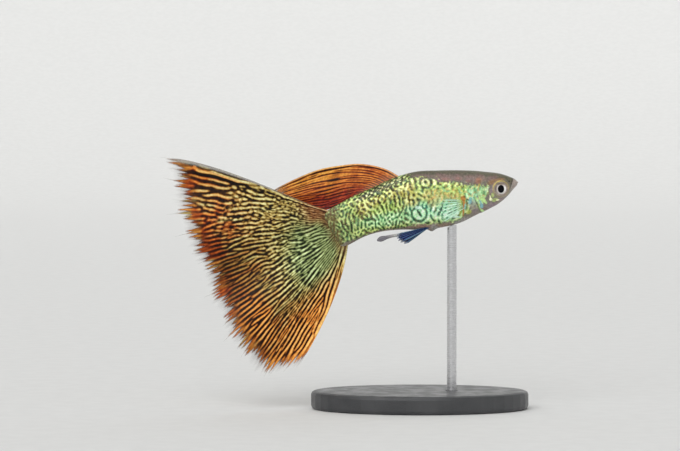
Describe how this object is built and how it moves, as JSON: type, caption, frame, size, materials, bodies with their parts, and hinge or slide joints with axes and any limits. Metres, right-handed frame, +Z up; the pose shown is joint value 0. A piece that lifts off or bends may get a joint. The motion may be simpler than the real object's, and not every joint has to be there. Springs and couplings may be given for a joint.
{
  "type": "fancy guppy display model",
  "caption": "Life-size male delta-tail guppy with a lace-patterned body and fanned tail, as a still display model on a rod and oval base.",
  "frame": {"origin": "centre of the stand base's underside", "axes": "+X towards the snout, +Y to the fish's left side, +Z up"},
  "size_m": [0.0609, 0.024, 0.0418],
  "materials": {
    "skin": "moist scaly skin, semi-gloss",
    "eye": "wet gloss",
    "tail_fin": "translucent membrane, satin",
    "dorsal_fin": "translucent membrane, satin",
    "clear_fins": "clear membrane, satin",
    "stand_base": "black satin",
    "stand_rod": "brushed"
  },
  "bodies": {
    "root": {"head": "skin", "torso": "skin", "tail_stem": "skin", "eye_left": "eye", "eye_right": "eye", "caudal_fin": "tail_fin", "dorsal_fin": "dorsal_fin", "pectoral_fin_left": "clear_fins", "pectoral_fin_right": "clear_fins", "pelvic_fin_left": "clear_fins", "pelvic_fin_right": "clear_fins", "gonopodium": "clear_fins", "stand_base": "stand_base", "stand_rod": "stand_rod"}
  },
  "joints": []
}
